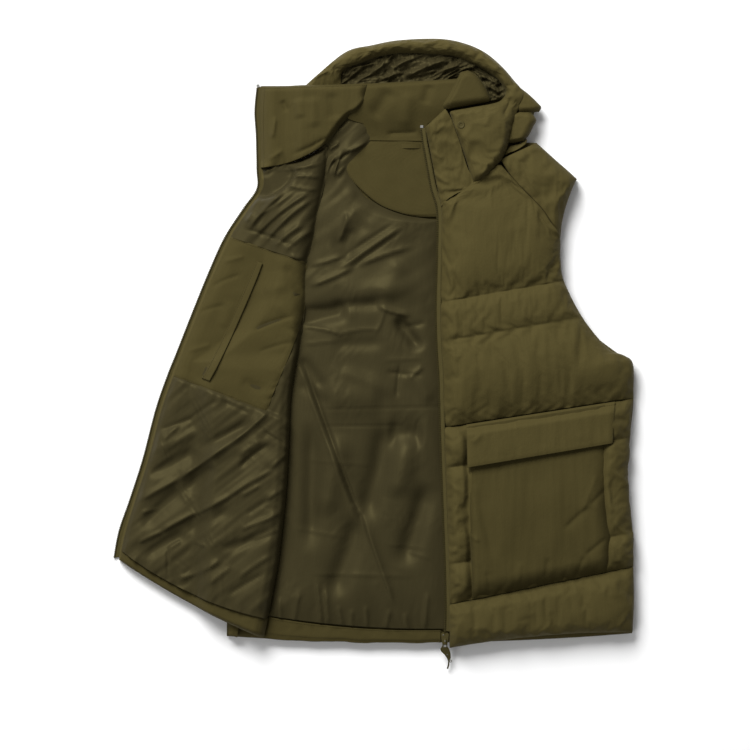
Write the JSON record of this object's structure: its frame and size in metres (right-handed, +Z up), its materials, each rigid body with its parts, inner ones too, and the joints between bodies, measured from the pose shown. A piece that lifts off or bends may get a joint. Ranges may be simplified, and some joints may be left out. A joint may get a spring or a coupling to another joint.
{
  "type": "puffer vest",
  "caption": "Hooded quilted puffer vest laid flat with its zip open, one front folded back to show the lining, a flap pocket on the other front.",
  "frame": {"origin": "centre of the bounding box, on the surface the garment lies on", "axes": "+X from the opened front to the closed front, +Y from the hem to the hood, +Z up from the surface"},
  "size_m": [0.7293, 0.8843, 0.0505],
  "materials": {
    "shell": "matt olive polyester, quilted",
    "facing": "matt olive polyester",
    "lining": "thin shiny olive lining",
    "tape": "woven zip tape",
    "metal": "bright",
    "lacquer": "satin olive lacquer"
  },
  "bodies": {
    "garment": {"back_shell": "shell", "back_lining": "lining", "back_neck_facing": "facing", "back_hem_facing": "facing", "hanger_loop": "facing", "front_left_chest": "shell", "front_left_yoke": "shell", "front_left_lower": "shell", "front_left_hem_band": "shell", "pocket_left": "facing", "pocket_flap": "facing", "front_right_shell": "shell", "front_right_underlap": "shell", "front_right_upper_lining": "lining", "front_right_pocket_panel": "facing", "front_right_lower_lining": "lining", "front_right_hem_facing": "facing", "inner_pocket_welt": "facing", "collar_right": "facing", "collar_back": "facing", "collar_turn": "shell", "collar_left": "shell", "shoulder_lining": "lining", "hood_back": "shell", "hood_lining": "lining", "hood_front": "shell", "hood_side": "shell", "hood_neck": "shell", "hood_neck_roll": "shell", "hood_snap": "lacquer", "zip_tape_left": "tape", "zip_tape_right": "tape", "zip_stop_left": "metal", "zip_stop_right": "metal", "zip_slider": "lacquer"},
    "pull_tab": {"pull_tab": "lacquer"}
  },
  "joints": [
    {"name": "pull_tab_hinge", "type": "hinge", "parent": "garment", "child": "pull_tab", "pos_m": [0.09995, -0.40486, 0.0201], "axis": [-1, 0, 0], "range_deg": [0, 145]}
  ]
}
